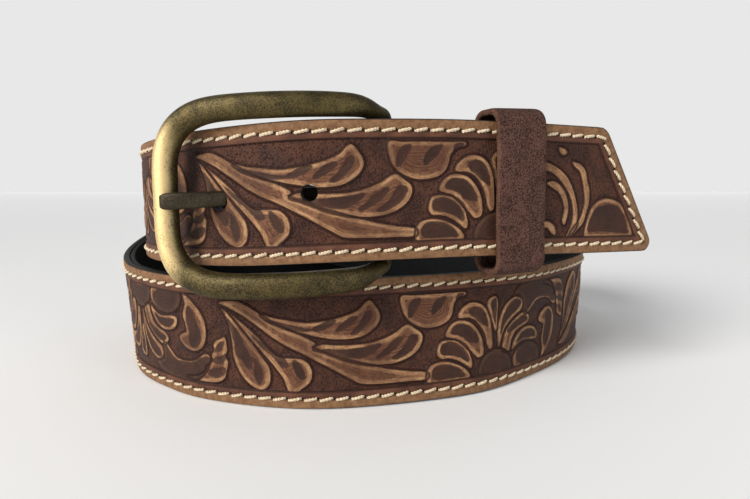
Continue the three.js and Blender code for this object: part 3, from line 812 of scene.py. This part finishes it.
def swept(name, rings, closed, materials):
    """A body from rings of points that follow one another."""
    size = len(rings[0])
    total = len(rings)
    faces = []
    for i in range(total if closed else total - 1):
        n = (i + 1) % total
        for j in range(size):
            k = (j + 1) % size
            faces.append((i * size + j, i * size + k, n * size + k, n * size + j))
    if not closed:
        faces.append(tuple(range(size))[::-1])
        faces.append(tuple(range((total - 1) * size, total * size)))
    obj = new_mesh(name, np.vstack(rings), faces, materials)
    bpy.ops.object.select_all(action="DESELECT")
    bpy.context.view_layer.objects.active = obj
    obj.select_set(True)
    bpy.ops.object.mode_set(mode="EDIT")
    bpy.ops.mesh.select_all(action="SELECT")
    bpy.ops.mesh.normals_make_consistent(inside=False)
    bpy.ops.object.mode_set(mode="OBJECT")
    obj.select_set(False)
    return obj


def add_node(tree, kind, inputs=None, **settings):
    """Adds a node, sets its options, and links or sets its inputs by name or number."""
    made = tree.nodes.new(kind)
    for key, value in settings.items():
        setattr(made, key, value)
    for key, value in (inputs or {}).items():
        socket = made.inputs[key]
        if isinstance(value, bpy.types.NodeSocket):
            tree.links.new(value, socket)
        else:
            socket.default_value = value
    return made


def sums(tree, operation, a, b=0.0):
    return add_node(tree, "ShaderNodeMath", {0: a, 1: b}, operation=operation).outputs[0]


def product(tree, a, b):
    return sums(tree, "MULTIPLY", a, b)


def mixture(tree, a, share, b):
    return sums(tree, "ADD", product(tree, a, 1.0 - share), product(tree, b, share))


def ramp(tree, value, low, high, first=0.0, last=1.0):
    made = add_node(tree, "ShaderNodeMapRange", {
        "Value": value, "From Min": low, "From Max": high, "To Min": first, "To Max": last,
    }, interpolation_type="SMOOTHSTEP")
    return made.outputs["Result"]


def blend(tree, factor, a, b):
    made = add_node(tree, "ShaderNodeMix", data_type="RGBA")
    for index, value in ((0, factor), (6, a), (7, b)):
        if isinstance(value, bpy.types.NodeSocket):
            tree.links.new(value, made.inputs[index])
        else:
            made.inputs[index].default_value = value
    return made.outputs[2]


def tint(tree, value, low, high, dark, light):
    return blend(tree, ramp(tree, value, low, high), linear(dark), linear(light))


def set_bump(tree, shader, strength, distance, height):
    bump = add_node(tree, "ShaderNodeBump", {"Strength": strength, "Distance": distance, "Height": height})
    tree.links.new(bump.outputs[0], shader.inputs["Normal"])


def noise(tree, size_mm, detail=3.0, rough=0.55):
    """Cloudy noise whose features are about size_mm across."""
    where = add_node(tree, "ShaderNodeTexCoord").outputs["Object"]
    made = add_node(tree, "ShaderNodeTexNoise", {
        "Vector": where, "Scale": 1000.0 / size_mm, "Detail": detail, "Roughness": rough,
    })
    return made.outputs[0]


def new_material(name):
    material = bpy.data.materials.new(name)
    material.use_nodes = True
    tree = material.node_tree
    shader = tree.nodes["Principled BSDF"]
    return material, tree, shader


def tooled_leather():
    # Vegetable-tanned cowhide, tooled, stained brown, and rubbed back on its raised parts.
    material, tree, shader = new_material("tooled_leather")

    def attribute(name):
        return add_node(tree, "ShaderNodeAttribute", attribute_name=name).outputs["Fac"]

    def off(value, centre):
        return sums(tree, "ABSOLUTE", sums(tree, "SUBTRACT", value, centre))

    def cover(colour, factor, code):
        return blend(tree, factor, colour, linear(code))

    lifts = [attribute(f"lift_{k}") for k in range(4)]
    mark = attribute("mark")
    rim = attribute("rim")
    pit = attribute("pit")
    inside = lifts[0]
    nearest = off(lifts[0], 0.25)
    for lift in lifts[1:]:
        inside = sums(tree, "MINIMUM", inside, lift)
        nearest = sums(tree, "MINIMUM", nearest, off(lift, 0.25))
    cloud = noise(tree, 6.0, 4.0)
    streak = noise(tree, 1.6, 4.0, 0.65)
    grain = noise(tree, 0.35, 3.0, 0.7)
    wash = noise(tree, 14.0, 3.0, 0.6)
    where = add_node(tree, "ShaderNodeTexCoord").outputs["Object"]
    dots = add_node(tree, "ShaderNodeTexVoronoi", {"Vector": where, "Scale": 1000.0 / 0.7})
    dots = dots.outputs["Distance"]

    # Fine lines that follow each motif's edge, from noise taken along the distance to that edge.
    contour = add_node(tree, "ShaderNodeCombineXYZ", {
        0: product(tree, inside, 2.4), 1: product(tree, cloud, 9.0),
    }).outputs[0]
    flow = add_node(tree, "ShaderNodeTexNoise", {"Vector": contour, "Scale": 1.0, "Detail": 2.0}).outputs[0]
    ragged = product(tree, sums(tree, "SUBTRACT", streak, 0.5), 1.6)
    torn = sums(tree, "ADD", mark, product(tree, ragged, 0.4))

    # Where each part of the tooling lies.
    field = ramp(tree, rim, GROOVE_INSET - 0.1, GROOVE_INSET + 0.25)
    raised = product(tree, ramp(tree, inside, -0.05, 0.2, 1.0, 0.0), field)
    marked = product(tree, ramp(tree, torn, -0.1, 0.3, 1.0, 0.0), field)
    cut = product(tree, ramp(tree, nearest, 0.15, 0.6, 1.0, 0.0), field)
    groove = ramp(tree, off(rim, GROOVE_INSET), 0.15, 0.5, 1.0, 0.0)
    margin = ramp(tree, rim, SEAM_INSET - 0.5, SEAM_INSET + 0.5, 1.0, 0.0)
    # Lighter within about 0.6 mm of each motif's outline, darker more than 1.8 mm inside it, with a ragged
    # border.
    outline_nearness = ramp(tree, sums(tree, "ADD", inside, ragged), -1.8, -0.6)

    ground_colour = tint(tree, cloud, 0.35, 0.68, "#2f170e", "#492a1d")
    ground_colour = cover(ground_colour, ramp(tree, dots, 0.1, 0.5, 0.55, 0.0), "#200f0a")
    ground_colour = cover(ground_colour, ramp(tree, grain, 0.55, 0.72, 0.0, 0.45), "#7c5a49")
    tan_deep = tint(tree, flow, 0.35, 0.62, "#482a1b", "#714b34")
    tan_light = tint(tree, flow, 0.35, 0.62, "#835c40", "#ab845f")
    tan = blend(tree, outline_nearness, tan_deep, tan_light)
    tan = cover(tan, ramp(tree, wash, 0.4, 0.62, 0.0, 0.6), "#45271a")
    mark_colour = tint(tree, cloud, 0.35, 0.65, "#25120c", "#372018")
    border_in = tint(tree, cloud, 0.35, 0.65, "#492b1e", "#623e2d")
    border_out = tint(tree, streak, 0.3, 0.7, "#68482f", "#866446")
    border = blend(tree, margin, border_in, border_out)
    colour = blend(tree, raised, ground_colour, tan)
    colour = blend(tree, product(tree, marked, 0.88), colour, mark_colour)
    colour = cover(colour, product(tree, cut, 0.9), "#260c06")
    colour = blend(tree, field, border, colour)
    colour = cover(colour, product(tree, groove, 0.85), "#2a150e")
    # Painted shade in the stitch holes: near black round each point where the thread goes in.
    colour = cover(colour, ramp(tree, pit, 0.3, 0.75, 0.95, 0.0), "#140b08")
    colour = cover(colour, ramp(tree, rim, 0.05, 0.5, 0.9, 0.0), "#1d1613")
    tree.links.new(colour, shader.inputs["Base Color"])

    open_ground = product(tree, field, sums(tree, "SUBTRACT", 1.0, raised))
    height = product(tree, product(tree, ramp(tree, dots, 0.05, 0.5), open_ground), 0.8)
    weights = ((grain, 0.35), (streak, 0.25), (flow, 0.5), (cut, -0.7), (groove, -0.4), (marked, -0.2))
    for part, weight in weights:
        height = sums(tree, "ADD", height, product(tree, part, weight))
    set_bump(tree, shader, 0.8, 0.0005, height)
    tree.links.new(ramp(tree, cloud, 0.3, 0.7, 0.52, 0.66), shader.inputs["Roughness"])
    shader.inputs["Specular IOR Level"].default_value = 0.22
    return material


def plain_leather(name, dark, light, rough, grain_mm, depth):
    # Leather without tooling: dyed and lightly grained, or painted along its cut edge.
    material, tree, shader = new_material(name)
    cloud = noise(tree, 4.0, 3.0)
    grain = noise(tree, grain_mm, 3.0, 0.7)
    mix = mixture(tree, cloud, 0.8, grain)
    tree.links.new(tint(tree, mix, 0.42, 0.58, dark, light), shader.inputs["Base Color"])
    set_bump(tree, shader, 0.7, depth, grain)
    shader.inputs["Roughness"].default_value = rough
    shader.inputs["Specular IOR Level"].default_value = 0.15
    return material


def antique_brass(name, bright, middle, deep, rough, highlight_span):
    # Cast brass, darkened chemically, with a painted highlight: on the left bar, faces not turned to the
    # right are lighter in patches, less so on the top bar.
    material, tree, shader = new_material(name)
    cloud = noise(tree, 5.0, 4.0, 0.6)
    speck = noise(tree, 0.42, 4.0, 0.75)
    where = add_node(tree, "ShaderNodeTexCoord").outputs["Object"]
    place = add_node(tree, "ShaderNodeSeparateXYZ", {0: where})
    # Painted highlight where a lamp on the left would light the left bar: weaker above 76 mm and off on
    # faces turned to the right.
    left_highlight = ramp(tree, place.outputs[0], highlight_span[0] * MM, highlight_span[1] * MM, 1.0, 0.0)
    left_highlight = product(tree, left_highlight, ramp(tree, place.outputs[2], 76 * MM, 85 * MM, 1.0, 0.25))
    facing = add_node(tree, "ShaderNodeNewGeometry").outputs["Normal"]
    facing_right = add_node(tree, "ShaderNodeSeparateXYZ", {0: facing}).outputs[0]
    left_highlight = product(tree, left_highlight, ramp(tree, facing_right, 0.25, 0.85, 1.0, 0.0))
    mix = mixture(tree, cloud, 0.7, speck)
    colour = tint(tree, mix, 0.38, 0.62, deep, middle)
    # The painted highlight shows only in the lighter patches of the mottle.
    highlight_patches = product(tree, ramp(tree, mix, 0.28, 0.5), left_highlight)
    colour = blend(tree, highlight_patches, colour, linear(bright))
    tree.links.new(colour, shader.inputs["Base Color"])
    shader.inputs["Metallic"].default_value = 0.7
    tree.links.new(ramp(tree, mix, 0.35, 0.65, rough + 0.14, rough), shader.inputs["Roughness"])
    set_bump(tree, shader, 0.35, 0.00025, speck)
    return material


def waxed_thread():
    # Waxed cream cotton, two plies twisted.
    material, tree, shader = new_material("waxed_thread")
    fibre = noise(tree, 0.3, 2.0)
    tree.links.new(tint(tree, fibre, 0.3, 0.7, "#b09a7a", "#e2d3b8"), shader.inputs["Base Color"])
    shader.inputs["Roughness"].default_value = 0.7
    return material


leather_look = tooled_leather()
edge_look = plain_leather("edge_paint", "#0f0f0e", "#20201f", 0.6, 0.4, 0.0001)
lining_look = plain_leather("lining_leather", "#060707", "#0f1111", 0.65, 0.5, 0.00015)
keeper_look = plain_leather("keeper_leather", "#2c1a15", "#5e4239", 0.8, 0.45, 0.0003)
keeper_edge_look = plain_leather("keeper_edge", "#3d2820", "#66493a", 0.8, 0.4, 0.0002)
# The frame's painted highlight lies left of X -54 to -47 mm; the prong's highlight has its middle colour, so
# it adds nothing.
frame_look = antique_brass("antique_brass", "#dcc28d", "#5e512d", "#252012", 0.42, (-54.0, -47.0))
prong_look = antique_brass("dark_brass", "#443b2b", "#443b2b", "#231e15", 0.42, (-60.0, -59.0))
thread_look = waxed_thread()

# The tooled layer: closely spaced rows across the tooled field, in two lengths that meet behind.
field_rows = list(np.linspace(-14.3, 14.3, 54))
edge_rows = [14.8, 15.3, 15.8, 16.3, 16.8, 17.4, 18.0, 18.45, 18.75]
FACE_ROWS = [-v for v in edge_rows[::-1]] + field_rows + edge_rows
STEP = 0.58
SPLIT = ROW_RUN[30]
leather_looks = [leather_look, edge_look]
strap_a, strap_b = [
    strap_sheet(name, start, end, STEP, FACE_ROWS, 1, TO_FACE, STRAP_WIDTH, leather_looks, True)
    for name, start, end in (
        ("strap_leather_lower", LINE_START, SPLIT),
        ("strap_leather_upper", SPLIT, PATH_END),
    )
]
LINING_ROWS = list(np.linspace(-18.6, 18.6, 34))
lining = strap_sheet("strap_lining_skin", LINE_START, PATH_END, 1.2, LINING_ROWS, -1, -TO_BACK, LINING_WIDTH,
                     [lining_look, lining_look], False)


def stitches():
    """Twisted two-ply stitches along the seam, each rising out of one hole and into the next."""
    points = []
    faces = []
    turns = PLY_RINGS
    sides = PLY_SIDES
    for (run, height), angle in zip(stitch_place, stitch_angle):
        angle = angle + math.radians(STITCH_SLANT) + rng.normal(0, 0.03)
        size = STITCH_LENGTH * (1 + rng.normal(0, 0.02))
        start = rng.uniform(0, 2 * math.pi)
        for ply in (0, 1):
            first = len(points)
            for i in range(turns):
                t = i / (turns - 1)
                lengthways = (t - 0.5) * size
                twist = start + ply * math.pi + t * 2 * math.pi * PLY_TURNS
                arch = STITCH_RISE * math.sin(math.pi * t) ** 0.6 - STITCH_SINK
                taper = 0.75 + 0.25 * math.sin(math.pi * t)
                side_way = math.cos(twist) * 0.21
                out_way = math.sin(twist) * 0.16 + arch
                for j in range(sides):
                    spin = 2 * math.pi * j / sides
                    a = side_way + PLY_RADIUS * taper * math.cos(spin)
                    b = out_way + PLY_RADIUS * taper * math.sin(spin)
                    points.append((
                        run + lengthways * math.cos(angle) - a * math.sin(angle),
                        height + lengthways * math.sin(angle) + a * math.cos(angle),
                        TO_FACE + b,
                    ))
            for i in range(turns - 1):
                for j in range(sides):
                    k = (j + 1) % sides
                    a = first + i * sides
                    faces.append((a + j, a + k, a + sides + k, a + sides + j))
            faces.append(tuple(first + j for j in range(sides))[::-1])
            faces.append(tuple(first + (turns - 1) * sides + j for j in range(sides)))
    p = np.array(points)
    return new_mesh("stitching", on_strap(p[:, 0], p[:, 1], p[:, 2]), faces, [thread_look])


stitching = stitches()


def superellipse(count, half, front, back, power):
    angle = 2 * math.pi * np.arange(count) / count
    c = np.cos(angle)
    s = np.sin(angle)
    x = np.sign(c) * np.abs(c) ** power * half
    y = np.sign(s) * np.abs(s) ** power * np.where(s < 0, back, front)
    return x, y


FRONT = np.array([0, -1.0, 0])
frame_left = heel_centre[0] + heel_radius - FRAME_LENGTH
frame_slope = math.tan(math.radians(FRAME_TILT))


def buckle_frame():
    upper = FRAME_ROWS
    lower = [(a, -h * LOWER_BAR_DROP, f, w * LOWER_BAR_WIDENING if h > 0.6 else w, d)
             for a, h, f, w, d in upper[1:-1][::-1]]
    rows = [(
        frame_left + a * FRAME_LENGTH,
        heel_centre[1] - f * FRAME_DOME,
        heel_centre[2] + h * FRAME_HEIGHT / 2 + (a - 0.9712) * FRAME_LENGTH * frame_slope,
        w * FRAME_BAR_WIDTH,
        d * FRAME_BAR_DEPTH,
    ) for a, h, f, w, d in list(upper) + lower]
    line = smooth_through(rows, 8, True)
    place = line[:, :3]
    along = unit(np.roll(place, -1, 0) - np.roll(place, 1, 0))
    rings = []
    for i in range(len(line)):
        side = unit(np.cross(FRONT, along[i]))
        out = np.cross(along[i], side)
        depth = line[i, 4]
        full = min(max((depth / FRAME_BAR_DEPTH - 0.76) / 0.24, 0), 1)
        x, y = superellipse(28, line[i, 3] / 2, depth * (0.5 + 0.12 * full), depth * (0.5 - 0.12 * full),
                            1 - 0.12 * full)
        ring = place[i] + x[:, None] * side + y[:, None] * out
        rings.append(in_frame(ring))
    return swept("buckle_frame_cast", rings, True, [frame_look])


def buckle_prong():
    rows = [(
        heel_centre[0] - a * PRONG_LENGTH,
        heel_centre[1] - o * FRAME_DOME,
        heel_centre[2] - a * PRONG_LENGTH * frame_slope * 1.15,
        w * PRONG_WIDTH,
        t * PRONG_THICKNESS,
    ) for a, o, w, t in PRONG_ROWS]
    line = smooth_through(rows, 5)
    place = line[:, :3]
    along = unit(np.gradient(place, axis=0))
    side = np.array([0, 0, 1.0])
    rings = []
    total = len(line)
    for i in range(total):
        out = unit(np.cross(side, along[i]))
        left = (total - 1 - i) * np.linalg.norm(place[-1] - place[-2])
        shrink = min(1.0, 0.72 + 0.28 * math.sqrt(max(left, 0) / 1.4))
        thick = line[i, 4] / 2 * shrink
        x, y = superellipse(20, line[i, 3] / 2 * shrink, thick, thick, 0.5)
        rings.append(in_frame(place[i] + x[:, None] * side + y[:, None] * out))
    blade = swept("buckle_prong_cast", rings, False, [prong_look])
    ring_rows = []
    for angle in np.linspace(0, 2 * math.pi, 33)[:-1]:
        way = np.array([math.cos(angle), math.sin(angle), 0])
        middle = heel_centre + way * (heel_radius + HEEL_CLEARANCE + 0.85)
        x, y = superellipse(12, PRONG_WIDTH / 2, 0.85, 0.85, 0.5)
        ring_rows.append(in_frame(middle + x[:, None] * side + y[:, None] * way))
    loop = swept("prong_ring", ring_rows, True, [prong_look])
    bpy.context.view_layer.objects.active = blade
    blade.select_set(True)
    loop.select_set(True)
    bpy.ops.object.join()
    blade.select_set(False)
    return blade


def keeper_band():
    """The keeper: a soft band bent into a loop round both thicknesses of the strap."""
    run = KEEPER_FROM_HEEL + KEEPER_WIDTH / 2
    i = int(np.searchsorted(path_run, run))
    axis_level = unit(np.array([path_along[i][0], path_along[i][1], 0]))
    lean = math.radians(KEEPER_LEAN)
    up = np.array([0, 0, math.cos(lean)]) - axis_level * math.sin(lean)
    axis = np.array([0, 0, math.sin(lean)]) + axis_level * math.cos(lean)
    out = np.cross(axis, up)
    both = LEATHER + LINING + LAYER_GAP
    inner = 2 * both + STRAP_OVERLAP + KEEPER_SLACK
    middle_out = TO_FACE - both + (2 * both + STRAP_OVERLAP) / 2
    middle = path_place[i] + np.cross(path_along[i], path_up[i]) * middle_out - up * KEEPER_SAG
    width = inner + KEEPER_THICKNESS
    height = KEEPER_HEIGHT - KEEPER_THICKNESS
    radius = KEEPER_RADIUS
    size = 24
    corners = []
    for cx, cz, start in ((1, 1, 0), (-1, 1, 90), (-1, -1, 180), (1, -1, 270)):
        for a in np.linspace(start, start + 90, 9):
            r = math.radians(a)
            corners.append((cx * (width / 2 - radius) + radius * math.cos(r),
                            cz * (height / 2 - radius) + radius * math.sin(r)))
    loop = []
    for k in range(len(corners)):
        a = np.array(corners[k])
        b = np.array(corners[(k + 1) % len(corners)])
        steps = max(1, int(np.linalg.norm(b - a) // 2.2))
        for j in range(steps):
            loop.append(a + (b - a) * j / steps)
    loop = np.array(loop)
    tangent = unit(np.roll(loop, -1, 0) - np.roll(loop, 1, 0))
    rings = []
    for k in range(len(loop)):
        normal = np.array([tangent[k][1], -tangent[k][0]])
        x, y = superellipse(size, KEEPER_WIDTH / 2, KEEPER_THICKNESS / 2, KEEPER_THICKNESS / 2, 0.28)
        wave = 0.12 * math.sin(loop[k][1] * 0.21)
        ring = []
        for px, py in zip(x, y):
            flat = loop[k] + normal * py
            ring.append(middle + out * flat[0] + up * flat[1] + axis * (px + wave))
        rings.append(in_frame(np.array(ring)))
    obj = swept("keeper_band", rings, True, [keeper_look, keeper_edge_look])
    edge = []
    beside = {0, 1, size - 1, size - 2, size // 2 - 2, size // 2 - 1, size // 2, size // 2 + 1}
    for face in obj.data.polygons:
        j = min(v % size for v in face.vertices)
        others = {v % size for v in face.vertices}
        if others == {0, size - 1}:
            j = size - 1
        edge.append(1 if j in beside else 0)
    obj.data.polygons.foreach_set("material_index", edge)
    return obj


cast_frame = buckle_frame()
cast_prong = buckle_prong()
band = keeper_band()

for piece, nodes, slot_name in (
    (strap_a, ("strap_leather",), "tooled_leather"),
    (strap_b, ("strap_leather",), "tooled_leather"),
    (lining, ("strap_lining",), "lining_leather"),
    (cast_frame, ("buckle_frame",), "antique_brass"),
    (cast_prong, ("buckle_prong",), "dark_brass"),
    (band, ("keeper",), "keeper_leather"),
):
    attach(piece, "root")
    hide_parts(*nodes)
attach(stitching, "root")


def plane(name, size, place, turn, material):
    bpy.ops.mesh.primitive_plane_add(size=size, location=place, rotation=turn)
    made = bpy.context.object
    made.name = name
    made.data.materials.append(material)


def light(name, kind, place, aim, energy, **settings):
    data = bpy.data.lights.new(name, kind)
    data.energy = energy
    for key, value in settings.items():
        setattr(data, key, value)
    obj = bpy.data.objects.new(name, data)
    obj.location = place
    obj.rotation_euler = (Vector(aim) - Vector(place)).to_track_quat("-Z", "Y").to_euler()
    bpy.context.scene.collection.objects.link(obj)


# Pale plain floor, and a screen behind it that glows as evenly as the photo's ground.
floor_look, _, floor_shader = new_material("floor_paper")
floor_shader.inputs["Base Color"].default_value = linear("#efefef")
floor_shader.inputs["Specular IOR Level"].default_value = 0.1
floor_shader.inputs["Roughness"].default_value = 0.9
plane("floor", 6.0, (0, 0, 0), (0, 0, 0), floor_look)
screen_look, _, screen_shader = new_material("screen_paper")
screen_shader.inputs["Base Color"].default_value = (0.0, 0.0, 0.0, 1.0)
screen_shader.inputs["Specular IOR Level"].default_value = 0.0
screen_shader.inputs["Emission Color"].default_value = linear("#e8e8e8")
screen_shader.inputs["Emission Strength"].default_value = 1.0
plane("screen", 8.0, (0, 2.9, 0), (math.radians(90.0), 0, 0), screen_look)

light("key", "SUN", (0, 0, 0), (0.72, 0.72, -0.66), 2.55, angle=math.radians(28.0))
light("softbox_left", "AREA", (-0.42, -0.40, 0.14), (-0.05, -0.07, 0.06), 1.6,
      shape="RECTANGLE", size=0.16, size_y=0.42, color=linear("#fff6e8")[:3])
light("softbox_right", "AREA", (0.40, -0.42, 0.20), (-0.04, -0.07, 0.06), 0.8,
      shape="RECTANGLE", size=0.20, size_y=0.30, color=linear("#ffffff")[:3])
scene = bpy.context.scene
world = bpy.data.worlds.new("studio")
scene.world = world
world.use_nodes = True
backdrop = world.node_tree.nodes["Background"]
backdrop.inputs["Color"].default_value = linear("#e8e8e8")
backdrop.inputs["Strength"].default_value = 0.35
scene.view_settings.view_transform = "Standard"

camera_data = bpy.data.cameras.new("camera")
camera = bpy.data.objects.new("camera", camera_data)
scene.collection.objects.link(camera)
camera_data.sensor_width = SENSOR
camera_data.lens = SENSOR * FOCAL_PIXELS / FRAME_WIDE
camera_data.clip_start = 0.01
camera_data.clip_end = 20.0
camera.location = in_frame(CAMERA_PLACE)
camera.rotation_euler = (math.radians(90.0) - math.atan2(MIDDLE_ROW - HORIZON_ROW, FOCAL_PIXELS), 0, 0)
scene.camera = camera
